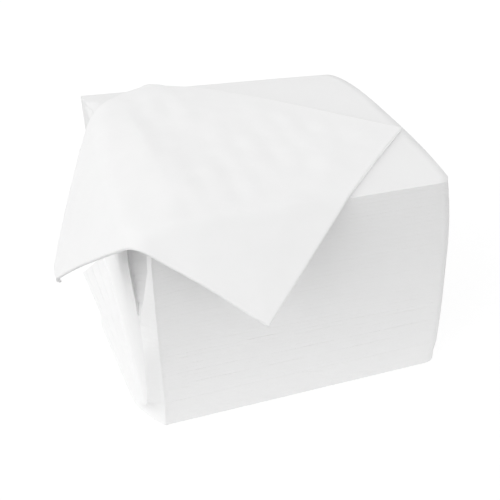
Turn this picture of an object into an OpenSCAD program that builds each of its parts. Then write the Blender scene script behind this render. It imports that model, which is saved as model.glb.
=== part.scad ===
// A stack of quarter-folded paper napkins, with one more napkin laid cornerwise on top of it.
// Every napkin is one folded sheet, and so one solid. Seen from above, +X is to the right and +Y
// to the back, and the origin is the middle of the stack's base.

/* [Napkin] */
// Side of one napkin folded in quarters
side = 165; // [155:1:180]
// Mean thickness of one folded napkin in the stack
leaf_stack = 2.4; // [2.2:0.05:2.6]
// Number of folded napkins in the stack, without the one laid on top
count = 49; // [44:1:54]
// Air left between one napkin and the next
air = 0.12; // [0.05:0.01:0.2]

/* [Stack] */
// How far the folded edges at the front left run wider than the side
spread = 8.5; // [6:0.5:10]
// How much the middle of the stack swells above its front and back edges
crown = 6.9; // [3:0.1:8]
// How much higher the folded left side stands than the open right side
left_rise = 1.7; // [0:0.1:4]
// How much more the back left corner rises
corner_rise = 6.8; // [0:0.1:8]
// How much lower the back edge lies than the front edge
back_drop = 1.6; // [0:0.1:4]
// How far the left fold runs in at the back, halfway up the stack
fold_skew = 13; // [8:0.5:16]
// Number of bottom napkins that spread out to the left like a foot
foot_count = 4; // [1:1:8]
// How far the top right edge is pulled in
right_pull = 4.5; // [0:0.5:8]
// How far the front edge of the lowest napkins is turned out of square
front_turn = 3.6; // [0:0.1:5]
// Largest sideways stray of one napkin from its neighbours
stray_reach = 0.45; // [0:0.05:0.6]

/* [Closed corner] */
// Width of the rounded front left corner, along the front
corner_x = 9.5; // [8:0.5:12]
// Length of the rounded front left corner, along the left side
corner_y = 7; // [6:0.5:9]
// How much longer the rounding of the lowest napkins is
foot_round = 11; // [0:0.5:12]
// Height at which the corner folds begin to stand open
cleft_z = 48; // [40:1:60]
// Height over which they open fully
cleft_rise = 44; // [35:1:55]
// How far they open along the left side
cleft_open = 22; // [16:0.5:24]
// How deep the opening goes into the corner
cleft_deep = 17; // [8:0.5:20]

/* [Draped napkin] */
// Middle of the draped napkin, left or right of the stack's middle
drape_x = -35.2; // [-45:0.1:-20]
// Middle of the draped napkin, in front of the stack's middle
drape_y = -25.3; // [-35:0.1:-15]
// Turn of the draped napkin
drape_turn = 44.2; // [40:0.1:50]
// Thickness of the draped napkin
drape_thick = 1.4; // [1:0.1:2.4]
// Radius at which it bends over the left shoulder
left_bend = 12; // [9:0.1:14]
// Angle at which it leaves that bend, below the level
left_fall = 49.3; // [40:0.1:60]
// How fast the left flap goes on curving, in degrees for each millimetre
left_curl = 0.309; // [0.01:0.001:0.35]
// How much further in the left bend lies at the back than at the front
left_skew = 9; // [0:0.1:10]
// Radius at which it bends over the front edge
front_bend = 10; // [8:0.1:12]
// Angle at which it leaves that bend, below the level
front_fall = 40.1; // [35:0.1:60]
// How fast the front flap goes on curving, in degrees for each millimetre
front_curl = -0.063; // [-0.3:0.001:-0.001]
// How square the two bends meet over the corner, from 1 for their full sum
corner_blend = 1.2; // [1:0.05:2]
// Height of the soft waves that cross the draped napkin
wave = 0.5; // [0:0.1:1]

/* [Hidden] */
// Front left, front right, back and front limits of the stack's plan
left_x = -side / 2 - spread / 2;
right_x = side / 2 + spread / 2;
front_y = -side / 2;
back_y = side / 2;
stack_low = count * leaf_stack;
edge_round = 0.9;
fold_round = 1.3;
leaf_groove = 0.5;
far_corner = 6;
bend_x = left_x + 8.3;
bend_y = front_y + 2.4;
open_from = cleft_z + 14;
drape_cells = 24;

// Distances from the front at which every napkin has a row of points
BREAKS = [for (b = [0, 0.27, 0.58, 0.82, 0.94, 1]) b * side];

function clamp(v, low, high) = max(low, min(high, v));
function part(v, from, to) = clamp((v - from) / (to - from), 0, 1);
function ease(t) = t * t * (3 - 2 * t);
function mix(a, b, t) = a + (b - a) * t;

// A repeatable stray between -1 and 1 for napkin i and direction k
function stray(i, k) =
    let (s = sin(i * 744.3 + k * 4481.7) * 437.585)
    2 * (s - floor(s)) - 1;

// Smooth upper surface of the whole stack over the plan point (x, y)
function top_z(x, y) =
    let (
        u = part(x, left_x, right_x),
        v = 2 * part(y, front_y, back_y) - 1,
        w = part(v, 0.15, 1)
    )
    stack_low + crown * (1 - pow(abs(v), 3)) + 0.3 * crown * v * (1 - v * v)
    + (left_rise + corner_rise * w) * (1 - u) - back_drop * w;

// The same surface, straight from one of the shared rows of points to the next
function stack_z(x, y) =
    lookup(y, [for (b = BREAKS) [front_y + b, top_z(x, front_y + b)]]);

// Height of the sheet's path below the level once it has run s past the start of a bend
function fall_down(s, bend, fall, curl) =
    let (a = s / bend * 180 / PI)
    s <= 0 ? 0
    : a < fall ? bend * (1 - cos(a))
    : let (rest = s - bend * fall * PI / 180)
      bend * (1 - cos(fall)) + (cos(fall) - cos(fall + curl * rest)) * 180 / PI / curl;

// Distance outwards that the same path has covered
function fall_out(s, bend, fall, curl) =
    let (a = s / bend * 180 / PI)
    s <= 0 ? 0
    : a < fall ? bend * sin(a)
    : let (rest = s - bend * fall * PI / 180)
      bend * sin(fall) + (sin(fall + curl * rest) - sin(fall)) * 180 / PI / curl;

// Line along which the draped napkin starts to bend down to the left
function bend_at(y) = bend_x + left_skew * part(y, front_y, back_y);

// How far in from the left limit the stack stays under the draped napkin, d below the top, in
// the row of points b from the front
function shoulder(d, b) =
    let (
        turned = left_bend * (1 - cos(left_fall)),
        run = d < turned
            ? sqrt(2 * left_bend * d - d * d)
            : left_bend * sin(left_fall) + (d - turned) / tan(left_fall)
    )
    b > side * 0.85 ? 0 : max(0, bend_at(front_y + b) - left_x - run - fold_round + 0.4);

// Share of the corner opening that napkin i shows, from 0 where it is closed to 1
function opening(i) = ease(part(i * leaf_stack, cleft_z, cleft_z + cleft_rise));

// Inset of the left side of napkin i at its back
function back_in(i) =
    i <= foot_count ? fold_skew * 1.15 * (i - 1) / foot_count
    : mix(fold_skew * 1.15, fold_skew * 0.62, (i - foot_count) / (count - foot_count));

// Inset of the right side of napkin i
function right_in(i) = right_pull * pow(part(i, count * 0.62, count), 2);

// How much napkin i takes part in the rounder and turned foot of the stack
function foot(i) = 1 - ease(part(i * leaf_stack, 2, 18));

// Distance from the front at which the left fold of napkin i begins
function mouth(i) = corner_y + foot_round * foot(i) + cleft_open * opening(i);
function is_open(i) = i * leaf_stack > open_from && mouth(i) > 11.6;

// Back end of the folded corner column in an open napkin
function column(i) = mix(7.5, 5, part(i * leaf_stack, open_from, open_from + 10));

// Distances from the front at which napkin i has a row of points
function rows(i) = concat(
    is_open(i)
        ? [0, 2, column(i), column(i) + 1, mouth(i) - 1.5, mouth(i)]
        : [0, 2.4 + 1.8 * foot(i), mouth(i)],
    [for (b = BREAKS) if (b > 0) b]
);

// Distance of the left edge of napkin i from the left limit, at row j
function left_edge(i, j) =
    let (
        r = rows(i),
        last = len(r) - 1,
        gape = part(i * leaf_stack, open_from, open_from + 40),
        lip = corner_x * 0.5 * gape,
        under = shoulder((count - i) * leaf_stack + 0.1, r[j]),
        along = max(under, back_in(i) * part(r[j], corner_y, side))
    )
    j == 0 ? corner_x + along * 0.5
    : j == last ? along + 0.5
    : !is_open(i) ? (j == 1 ? corner_x * mix(0.3, 0.5, foot(i)) : 0) + along
    : j == 1 ? max(lip, corner_x * 0.35) + along
    : j == 2 ? max(lip, 0.6) + along
    : j == 3 || j == 4 ? lip + along + 1.5 + cleft_deep * ease(min(1, 2.2 * gape))
    : along;

// Distance of the right edge of napkin i from the right limit, at row j
function right_edge(i, j) =
    let (r = rows(i), last = len(r) - 1)
    right_in(i)
    + (j == 0 ? far_corner : j == 1 ? far_corner * 0.25 : 0)
    + (j == last ? far_corner : j == last - 1 ? far_corner * 0.1 : 0);

// Outline of napkin i, counter-clockwise from the front left: each entry is a plan point, the
// direction that leads into the paper there, and 1 where the edge is the left fold
function outline(i) =
    let (
        r = rows(i),
        last = len(r) - 1,
        dx = stray(i, 1) * stray_reach,
        dy = stray(i, 2) * stray_reach,
        turn = front_turn * (1 - ease(part(i * leaf_stack, 0, 45))),
        y = [for (j = [0:last]) front_y + r[j] + (j == 0 || j == last ? dy : 0)],
        out = [for (j = [0:last]) turn * (1 - part(r[j], 0, 45))],
        left = [for (j = [0:last]) [
            [left_x + left_edge(i, j) + dx, y[j] - out[j] * 0.4],
            j == 0 ? [0.3, 1] : j == last ? [0.3, -1] : [1, 0],
            j == 0 || j == last ? 0 : 1
        ]],
        right = [for (j = [0:last]) [
            [right_x - right_edge(i, j) + dx, y[j] + out[j] * 0.6],
            j == 0 ? [-0.3, 1] : j == last ? [-0.3, -1] : [-1, 0],
            0
        ]]
    )
    concat([left[0]], right, [for (j = [last:-1:1]) left[j]]);

// Heights of the edge rings as shares of the thickness, and how far each ring is drawn in: the
// front, back and right show two pairs of leaves, and the left side is one round fold
RINGS = [0, 0.25, 0.5, 0.75, 1];
EDGE_IN = [edge_round, 0, leaf_groove, 0, edge_round];
FOLD_IN = [fold_round, 0.35, 0, 0.35, fold_round];

// One folded napkin of the stack, between the levels i - 1 and i
module folded_napkin(i) {
    plan = outline(i);
    n = len(plan);
    last = n / 2 - 1;
    points = [
        for (k = [0:4], p = plan)
        let (
            inset = p[2] == 1 ? FOLD_IN[k] : EDGE_IN[k],
            x = p[0][0] + p[1][0] * inset,
            y = p[0][1] + p[1][1] * inset,
            full = stack_z(x, y),
            low = i == 1 ? 0 : full * (i - 1) / count + air / 2,
            high = full * i / count - air / 2
        )
        [x, y, mix(low, high, RINGS[k])]
    ];
    sides = [
        for (k = [0:3], q = [0:n - 1])
        let (a = k * n + q, b = k * n + (q + 1) % n)
        each [[a, a + n, b], [b, a + n, b + n]]
    ];
    // Indices of the left and right ends of row j in one ring
    ends = [for (j = [0:last]) [j == 0 ? 0 : n - j, j + 1]];
    top = 4 * n;
    caps = [
        for (j = [0:last - 1])
        let (a = ends[j][0], b = ends[j][1], c = ends[j + 1][1], d = ends[j + 1][0])
        each [
            [a, b, c], [a, c, d],
            [top + a, top + c, top + b], [top + a, top + d, top + c]
        ]
    ];
    color("white") polyhedron(points, concat(sides, caps));
}

// Soft waves of the draped napkin, fading out where it lies on the stack's edges
function waves(x, y) =
    wave * (sin(x * 4.1 + y * 2.3) * sin(y * 3.1 - x * 1.2) + 1) / 2;

// Place of the draped napkin's underside over the flat point (x, y)
function draped(x, y) =
    let (
        line = bend_at(y),
        s = line - x,
        t = bend_y - y,
        past = max(0, y - back_y),
        level = top_z(max(x, line), max(y, bend_y)) + air + waves(x, y) - 0.02 * past * past,
        drop_left = fall_down(s, left_bend, left_fall, left_curl),
        drop_front = fall_down(t, front_bend, front_fall, front_curl)
    )
    [
        s > 0 ? line - fall_out(s, left_bend, left_fall, left_curl) : x,
        t > 0 ? bend_y - fall_out(t, front_bend, front_fall, front_curl) : y,
        level - pow(pow(drop_left, corner_blend) + pow(drop_front, corner_blend), 1 / corner_blend)
    ];

// The same place, lifted by h along the napkin's own upward direction
function draped_at(x, y, h) =
    let (
        step = 0.5,
        along = draped(x + step, y) - draped(x - step, y),
        across = draped(x, y + step) - draped(x, y - step),
        up = cross(along, across)
    )
    draped(x, y) + up / norm(up) * h;

// Flat plan point of the draped napkin at the shares u and v of its side, drawn in by inset
function drape_plan(u, v, inset) =
    let (
        half = side / 2 - inset,
        a = (2 * u - 1) * half,
        b = (2 * v - 1) * half
    )
    [
        drape_x + a * cos(drape_turn) - b * sin(drape_turn),
        drape_y + a * sin(drape_turn) + b * cos(drape_turn)
    ];

// The napkin laid cornerwise over the top, hanging past the left and front of the stack
module draped_napkin() {
    m = drape_cells;
    w = m + 1;
    grid = [for (v = [0:m], u = [0:m]) [u / m, v / m]];
    rim = concat(
        [for (u = [0:m - 1]) u],
        [for (v = [0:m - 1]) v * w + m],
        [for (u = [m:-1:1]) m * w + u],
        [for (v = [m:-1:1]) v * w]
    );
    turn = len(rim);
    under = [for (g = grid) let (p = drape_plan(g[0], g[1], edge_round / 2)) draped_at(p[0], p[1], 0)];
    over = [for (g = grid) let (p = drape_plan(g[0], g[1], edge_round / 2)) draped_at(p[0], p[1], drape_thick)];
    edge = [
        for (k = rim)
        let (p = drape_plan(grid[k][0], grid[k][1], 0))
        draped_at(p[0], p[1], drape_thick / 2)
    ];
    up = w * w;
    mid = 2 * w * w;
    // Each cell is split along the bend that it lies nearer to
    cells = [
        for (v = [0:m - 1], u = [0:m - 1])
        let (
            a = v * w + u, b = a + 1, c = b + w, d = a + w,
            p = drape_plan((u + 0.5) / m, (v + 0.5) / m, 0)
        )
        each p[0] - bend_x < p[1] - bend_y
        ? [[a, b, c], [a, c, d], [up + a, up + c, up + b], [up + a, up + d, up + c]]
        : [[a, b, d], [b, c, d], [up + a, up + d, up + b], [up + b, up + d, up + c]]
    ];
    edges = [
        for (k = [0:turn - 1])
        let (
            a = rim[k], b = rim[(k + 1) % turn],
            p = mid + k, q = mid + (k + 1) % turn
        )
        each [
            [a, p, b], [b, p, q],
            [p, up + a, q], [q, up + a, up + b]
        ]
    ];
    color("whitesmoke") polyhedron(concat(under, over, edge), concat(cells, edges));
}

// Names run from the bottom of the stack to its top
function napkin_name(i) = str("napkin_", i < 10 ? "0" : "", i);

for (i = [1:count]) {
    folded_napkin(i);
}
draped_napkin();
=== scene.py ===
"""Looks of a stack of quarter-folded paper napkins with one more napkin laid cornerwise over its top.

All shapes are worked out in millimetres in the stack's own frame: +X right, +Y back, +Z up, with the
origin in the middle of the stack's base. Meshes are written in metres. A height called t is counted in
napkins from the base, and a distance called b is measured from the stack's front limit to the back.
"""

import logging
import math
from dataclasses import dataclass, field
from enum import IntEnum
from typing import ClassVar, Dict, List, Optional, Tuple, Union

import bpy
import numpy as np
from mathutils import Matrix, Vector


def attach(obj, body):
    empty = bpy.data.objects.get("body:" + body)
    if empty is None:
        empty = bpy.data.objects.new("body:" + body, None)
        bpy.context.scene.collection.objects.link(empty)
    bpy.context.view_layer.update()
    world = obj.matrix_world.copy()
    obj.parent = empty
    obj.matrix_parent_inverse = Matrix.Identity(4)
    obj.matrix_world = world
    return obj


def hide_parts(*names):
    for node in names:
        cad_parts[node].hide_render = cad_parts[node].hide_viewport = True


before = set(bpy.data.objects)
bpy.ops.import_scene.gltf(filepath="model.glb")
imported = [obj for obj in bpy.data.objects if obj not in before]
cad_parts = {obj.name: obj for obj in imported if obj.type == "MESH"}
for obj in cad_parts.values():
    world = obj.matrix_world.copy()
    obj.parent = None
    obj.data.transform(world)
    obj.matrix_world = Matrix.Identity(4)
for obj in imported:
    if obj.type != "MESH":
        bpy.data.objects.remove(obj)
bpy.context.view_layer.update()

MM = 0.001
TINY = 1e-9
BODY = "root"
RINGS = 17
SHARES = np.linspace(0.0, 1.0, RINGS)
LOG = logging.getLogger("napkins")

Number = Union[float, np.ndarray]
Pair = Tuple[float, float]
Triple = Tuple[float, float, float]


def clamp(value: np.ndarray, low: float, high: float) -> np.ndarray:
    """Return value held between low and high."""
    return np.minimum(np.maximum(value, low), high)


def part(value: Number, start: Number, end: Number) -> np.ndarray:
    """Return how far value has come from start to end, from 0 to 1."""
    return clamp((np.asarray(value, float) - start) / (end - start), 0.0, 1.0)


def ease(share: Number) -> Number:
    """Return share with a soft start and a soft end."""
    return share * share * (3.0 - 2.0 * share)


def mix(a: Number, b: Number, share: Number) -> Number:
    """Return the value at share of the way from a to b."""
    return a + (b - a) * share


class Ripple:
    """A repeatable smooth wander over a plane, between -1 and 1."""

    def __init__(self, seed: int, waves: Pair, turns: int = 3) -> None:
        """Choose the wander's waves.

        Args:
            seed: Number that picks the directions and phases.
            waves: Longest and shortest wavelength in millimetres.
            turns: How many waves are added up.
        """
        draw = np.random.RandomState(seed)
        length = np.exp(draw.uniform(np.log(waves[1]), np.log(waves[0]), turns))
        angle = draw.uniform(0.0, 2.0 * math.pi, turns)
        self.kx = 2.0 * math.pi / length * np.cos(angle)
        self.ky = 2.0 * math.pi / length * np.sin(angle)
        self.phase = draw.uniform(0.0, 2.0 * math.pi, turns)

    def over(self, x: np.ndarray, y: np.ndarray) -> np.ndarray:
        """Work out the wander over plan points.

        Args:
            x: Plan places to the right.
            y: Plan places to the back.

        Returns:
            One value for each point.
        """
        total = np.zeros(np.broadcast(x, y).shape)
        for kx, ky, phase in zip(self.kx, self.ky, self.phase):
            total = total + np.sin(kx * x + ky * y + phase)
        return total / len(self.kx)


class EdgeKind(IntEnum):
    """What a folded napkin shows along its border.

    TWO_FOLDS are two folds, one above the other. LEAVES are four open leaves. ONE_FOLD is one round fold
    around the other leaves. OPEN_CORNER is the plain face of the column and the cleft.
    """

    TWO_FOLDS = 0
    LEAVES = 1
    ONE_FOLD = 2
    OPEN_CORNER = 3


@dataclass(frozen=True)
class EdgeShape:
    """How far the border of a folded napkin is drawn in, from its underside to its top.

    Attributes:
        two_folds: Deepest inset where two folds show.
        groove: Share of it that the groove between those two folds has.
        one_fold: Deepest inset where one fold shows.
        leaf: Deepest inset between open leaves.
        leaves: How many leaves lie on each other in a folded napkin.
        uneven: Mean further inset of a leaf where two folds, open leaves or one fold show.
        waves: Longest and shortest wave of that further inset along the border.
        leaf_share: How much of the napkin's thickness one leaf's further inset takes up.
        seed: Number from which those waves are counted.
        seed_step: How many of these numbers are kept for each napkin.
        soften: How often the change from one kind of border to the next is softened.
    """

    two_folds: float = 0.038
    groove: float = 0.45
    one_fold: float = 0.07
    leaf: float = 0.10
    leaves: int = 4
    uneven: Triple = (0.015, 0.14, 0.02)
    waves: Pair = (150.0, 30.0)
    leaf_share: float = 0.12
    seed: int = 1000
    seed_step: int = 10
    soften: int = 2

    def inset(self, kind: EdgeKind) -> np.ndarray:
        """Return the inset of each ring of the border.

        Args:
            kind: What the border shows.

        Returns:
            One inset in millimetres for each share in SHARES.
        """
        if kind is EdgeKind.TWO_FOLDS:
            across = np.abs(2.0 * ((2.0 * SHARES) % 1.0) - 1.0)
            deep = np.where(np.abs(2.0 * SHARES - 1.0) > 0.5, 1.0, self.groove)
            return self.two_folds * deep * across**2
        if kind is EdgeKind.ONE_FOLD:
            across = np.abs(2.0 * SHARES - 1.0)
            return self.one_fold * across**3
        across = np.abs(2.0 * ((self.leaves * SHARES) % 1.0) - 1.0)
        return self.leaf * across**3

    def uneven_leaf(self, number: int, leaf: int, x: np.ndarray, y: np.ndarray) -> np.ndarray:
        """Return how unevenly a leaf of a numbered napkin ends at border points, from 0 to 2."""
        return 1.0 + Ripple(self.seed + self.seed_step * number + leaf, self.waves).over(x, y)

    def leaf_rings(self, leaf: int) -> np.ndarray:
        """Return how much each ring of the border takes part in one leaf."""
        return np.exp(-(((SHARES - (leaf + 0.5) / self.leaves) / self.leaf_share) ** 2))


@dataclass(frozen=True)
class Sag:
    """How the near left part of the stack's top is pressed down under the draped napkin.

    Attributes:
        start: Place in x from which the top sinks to the left.
        slope: Slope that it comes to.
        soft: How softly the slope sets in.
        back: Places in y between which the sag fades out to the back.
        front: Distances in front of the middle between which it gets weaker.
        front_loss: Share of it that is lost there.
    """

    start: float = -60.0
    slope: float = 0.29
    soft: float = 5.0
    back: Pair = (-20.0, 78.0)
    front: Pair = (60.0, 88.0)
    front_loss: float = 0.6

    def share(self, y: np.ndarray) -> np.ndarray:
        """Return how fully the top is pressed down at each y."""
        near = 1.0 - ease(part(y, *self.back))
        return near * (1.0 - self.front_loss * ease(part(-y, *self.front)))

    def over(self, x: np.ndarray, y: np.ndarray) -> Tuple[np.ndarray, np.ndarray]:
        """Work out the sag over plan points.

        Args:
            x: Plan places to the right.
            y: Plan places to the back.

        Returns:
            How far the top is pressed down at each point, and its slope there.
        """
        share = self.share(y) * self.slope
        past = np.maximum(0.0, self.start - x)
        reach = np.sqrt(past**2 + self.soft**2)
        return share * (reach - self.soft), share * past / reach


@dataclass(frozen=True)
class NearCorner:
    """The near left corner: a narrow column, and behind it a cleft that opens towards the top.

    The column's front edge is a slanted crease. Depths count in from the left fold, reaches from the front.
    Where the cleft is wide enough, the left fold stands free in front of a hollow.

    Attributes:
        leaf: Thickness of a folded napkin.
        loft: Factor of that thickness at this corner, where it is pressed least.
        column_z: Heights at which the column's reach is given.
        column_reach: How far back the column reaches at each.
        foot_z: Heights between which the round foot ends.
        foot_reach: How much further back the column reaches at the foot.
        crease_z: Heights between which the crease's depth changes.
        crease_in: Depth of the crease below and above.
        rounding: Power of the column's round plan, and the same at the foot.
        turn_in_z: Heights between which the column's back edge turns in.
        turn_in: Depth that this edge comes to.
        cleft_z: Heights at which the cleft's width is given.
        cleft_wide: Width of the cleft at each.
        closed: Width below which there is no cleft.
        least_hollow: Width above which there is a hollow behind the fold.
        behind_wide: Widths of the cleft between which the hollow grows longer behind the fold.
        behind: Its length there at first, and how much is added.
        deep_z: Heights between which the cleft gets deeper.
        deep: Its depth below and above.
        square_z: Heights between which the cleft's plan changes from a parabola to a squarer form.
        square: Power of the squarer form.
        lean: Power that moves the deepest place of a cleft with a hollow away from its middle.
        skin_most: Most thickness of the free fold.
        skin_share: Most share of the cleft's depth that the free fold takes up.
        lip: Thickness of the free fold's edge.
    """

    leaf: float
    loft: float = 1.045
    column_z: Tuple[float, ...] = (0.0, 10.0, 20.0, 30.0, 45.0, 52.0, 58.0, 64.0, 70.0, 75.0, 82.0, 90.0)
    column_reach: Tuple[float, ...] = (7.0, 4.0, 2.2, 1.6, 2.2, 4.0, 7.0, 8.6, 7.4, 6.0, 4.8, 4.3)
    foot_z: Pair = (2.0, 18.0)
    foot_reach: float = 11.0
    crease_z: Pair = (15.0, 100.0)
    crease_in: Pair = (8.8, 5.6)
    rounding: Pair = (1.1, 1.3)
    turn_in_z: Pair = (50.0, 99.0)
    turn_in: float = 4.7
    cleft_z: Tuple[float, ...] = (62.0, 66.0, 70.0, 75.0, 80.0, 85.0, 90.0, 95.0, 105.0)
    cleft_wide: Tuple[float, ...] = (0.0, 2.4, 5.6, 10.0, 15.0, 19.5, 22.7, 24.2, 25.7)
    closed: float = 0.01
    least_hollow: float = 2.0
    behind_wide: Pair = (3.0, 18.0)
    behind: Pair = (0.4, 4.4)
    deep_z: Pair = (63.0, 88.0)
    deep: Pair = (1.0, 13.0)
    square_z: Pair = (60.0, 72.0)
    square: float = 0.35
    lean: float = 0.8
    skin_most: float = 1.6
    skin_share: float = 0.4
    lip: float = 0.35

    def height(self, t: float) -> float:
        """Return the height of t napkins at this corner."""
        return t * self.leaf * self.loft

    def middle_height(self, t: float) -> float:
        """Return the height half a napkin above t napkins, each of the mean thickness."""
        return (t + 0.5) * self.leaf

    def foot(self, t: float) -> float:
        """Return how much the stack takes part in its round foot, t napkins above its base."""
        return 1.0 - float(ease(part(self.middle_height(t), *self.foot_z)))

    def column(self, t: float) -> float:
        """Return how far back the column reaches, t napkins above the base."""
        slant = float(np.interp(self.height(t), self.column_z, self.column_reach))
        return slant + self.foot_reach * self.foot(t)

    def opening(self, t: float) -> float:
        """Return how wide the cleft is along the left side, t napkins above the base."""
        return float(np.interp(self.height(t), self.cleft_z, self.cleft_wide))

    def is_hollow(self, t: float) -> bool:
        """Tell whether there is a hollow behind the left fold, t napkins above the base."""
        return self.opening(t) > self.least_hollow

    def mouth(self, t: float) -> float:
        """Return where the left fold begins, from the front, t napkins above the base."""
        return self.column(t) + self.opening(t)

    def hollow_end(self, t: float) -> float:
        """Return how far back the hollow behind the left fold reaches, t napkins above the base."""
        widened = float(ease(part(self.opening(t), *self.behind_wide)))
        return self.mouth(t) + self.behind[0] + self.behind[1] * widened

    def hollow_depth(self, t: float) -> float:
        """Return how deep the cleft is, t napkins above the base."""
        return mix(*self.deep, float(ease(part(self.height(t), *self.deep_z))))

    def skin(self, t: float) -> float:
        """Return how thick the free fold is, t napkins above the base."""
        return min(self.skin_most, self.skin_share * self.hollow_depth(t))

    def back_edge(self, t: float) -> float:
        """Return how deep the column's back edge lies, t napkins above the base."""
        return self.turn_in * float(part(self.height(t), *self.turn_in_z)) ** 2

    def inset(self, t: float, b: np.ndarray) -> np.ndarray:
        """Work out how much further than the left fold the column and the cleft lie in.

        Args:
            t: Height, counted in napkins.
            b: Distances from the front.

        Returns:
            One depth for each distance.
        """
        column, mouth, edge = self.column(t), self.mouth(t), self.back_edge(t)
        crease = mix(*self.crease_in, float(part(self.height(t), *self.crease_z)))
        power = mix(*self.rounding, self.foot(t))
        turn = 1.0 - part(b, 0.0, column)
        front = edge + (crease - edge) * (1.0 - (1.0 - turn**power) ** (1.0 / power))
        if mouth - column < self.closed:
            return front
        if self.is_hollow(t):
            s = part(b, column, self.hollow_end(t)) ** self.lean
        else:
            s = part(b, column, mouth)
        power = mix(1.0, self.square, float(part(self.height(t), *self.square_z)))
        behind = mix(edge, 0.0, s) + self.hollow_depth(t) * (4.0 * s * (1.0 - s)) ** power
        return np.where(b < column, front, behind)


@dataclass(frozen=True)
class StackForm:
    """Sizes of the whole stack, and the surfaces that follow from them.

    Attributes:
        side: Side of a folded napkin.
        leaf: Thickness of a folded napkin in the stack.
        count: Number of folded napkins.
        air: Gap between neighbours.
        stray: How far a napkin may lie from its place.
        spread: How much wider the stack is than one napkin.
        crown: Height of the top's middle over its front and back edges.
        crown_lean: Share of the crown that moves from its front half to its back half.
        left_rise: Height of the left side over the right one.
        corner_rise: Further height of the back left corner.
        back_drop: How much lower the back side is.
        back_from: Where the back part of the top begins, with 0 in the middle and 1 at the back.
        sag: How the near left part of the top is pressed down.
        wave: Height of the soft waves between two napkins, and of those on the top.
        waves: Longest and shortest of these waves.
        wave_seed: Number from which these waves are counted.
        near: The near left corner.
        skew: How far the left fold runs in at the back.
        skew_part: Share of it above the lowest napkins and at the top.
        skew_count: Over how many of the lowest napkins it sets in.
        swell: How far the left fold's foot bulges out.
        swell_z: Heights between which the bulge ends.
        swell_near: Distances from the front between which it begins.
        swell_far: Distances from the front between which it ends.
        pull: How far the top lies in on the right.
        pull_from: Share of the napkins below which nothing lies in.
        far_corner: Radius of the right corners.
        near_foot: How much larger the front one is at the foot.
        turn: How far the front's foot is turned, from its left end to its right end.
        turn_at: Where between these ends it stays in place.
        turn_z: Height at which the front is straight.
        turn_reach: How far back the turn is felt.
        crease: How far the crease at the near left corner stands out.
        crease_wide: Half the crease's width.
        crease_reach: How far back the crease is felt.
    """

    side: float = 165.0
    leaf: float = 2.4
    count: int = 49
    air: float = 0.006
    stray: float = 0.03
    spread: float = 8.5
    crown: float = 6.9
    crown_lean: float = 0.3
    left_rise: float = 1.7
    corner_rise: float = 6.8
    back_drop: float = 1.6
    back_from: float = 0.15
    sag: Sag = Sag()
    wave: Pair = (0.28, 0.2)
    waves: Pair = (160.0, 35.0)
    wave_seed: int = 100
    near: NearCorner = NearCorner(leaf)
    skew: float = 13.0
    skew_part: Pair = (1.15, 0.62)
    skew_count: int = 4
    swell: float = 2.6
    swell_z: Pair = (3.0, 16.0)
    swell_near: Pair = (13.0, 27.0)
    swell_far: Pair = (98.0, 117.0)
    pull: float = 4.1
    pull_from: float = 0.62
    far_corner: float = 5.5
    near_foot: float = 3.0
    turn: float = 3.6
    turn_at: float = 0.4
    turn_z: float = 45.0
    turn_reach: float = 45.0
    crease: float = 0.3
    crease_wide: float = 1.0
    crease_reach: float = 0.5

    @property
    def left_x(self) -> float:
        """Left limit of the stack."""
        return -(self.side + self.spread) / 2.0

    @property
    def right_x(self) -> float:
        """Right limit of the stack."""
        return (self.side + self.spread) / 2.0

    @property
    def front_y(self) -> float:
        """Front limit of the stack."""
        return -self.side / 2.0

    @property
    def back_y(self) -> float:
        """Back limit of the stack."""
        return self.side / 2.0

    def top(self, x: np.ndarray, y: np.ndarray) -> np.ndarray:
        """Work out the top of the whole stack.

        Args:
            x: Plan places to the right.
            y: Plan places to the back.

        Returns:
            Its height at each place.
        """
        u = part(x, self.left_x, self.right_x)
        v = 2.0 * part(y, self.front_y, self.back_y) - 1.0
        w = part(v, self.back_from, 1.0)
        arch = self.crown * (1.0 - np.abs(v) ** 3) + self.crown_lean * self.crown * v * (1.0 - v * v)
        rise = (self.left_rise + self.corner_rise * w) * (1.0 - u)
        sunk, _ = self.sag.over(x, y)
        return self.count * self.leaf + arch + rise - self.back_drop * w - sunk

    def level(self, k: int, x: np.ndarray, y: np.ndarray) -> np.ndarray:
        """Work out the surface between napkins k and k + 1.

        Args:
            k: Number of napkins below the surface.
            x: Plan places to the right.
            y: Plan places to the back.

        Returns:
            Its height at each place.
        """
        full = self.top(x, y) * k / self.count
        if k == 0:
            return full * 0.0
        soft = self.wave[0] if k < self.count else self.wave[1]
        return full + soft * Ripple(self.wave_seed + k, self.waves).over(x, y)

    def back_in(self, t: float) -> float:
        """Work out how far the left fold runs in at the back.

        Args:
            t: Height, counted in napkins.

        Returns:
            The distance at the stack's back.
        """
        lowest = float(part(t - 0.5, 0.0, self.skew_count))
        share = float(part(t + 0.5, self.skew_count, self.count))
        return self.skew * mix(*self.skew_part, share) * lowest

    def left_edge(self, t: float, b: np.ndarray, under: np.ndarray) -> np.ndarray:
        """Work out the inset of the left fold.

        Args:
            t: Height, counted in napkins.
            b: Distances from the front.
            under: Inset that keeps the side under the draped napkin at each distance.

        Returns:
            Distances from the stack's left limit.
        """
        low = self.swell * (1.0 - float(ease(part(self.near.middle_height(t), *self.swell_z))))
        bulge = low * ease(part(b, *self.swell_near)) * (1.0 - ease(part(b, *self.swell_far)))
        return np.maximum(under, self.back_in(t) * part(b, self.near.mouth(t), self.side)) - bulge

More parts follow.
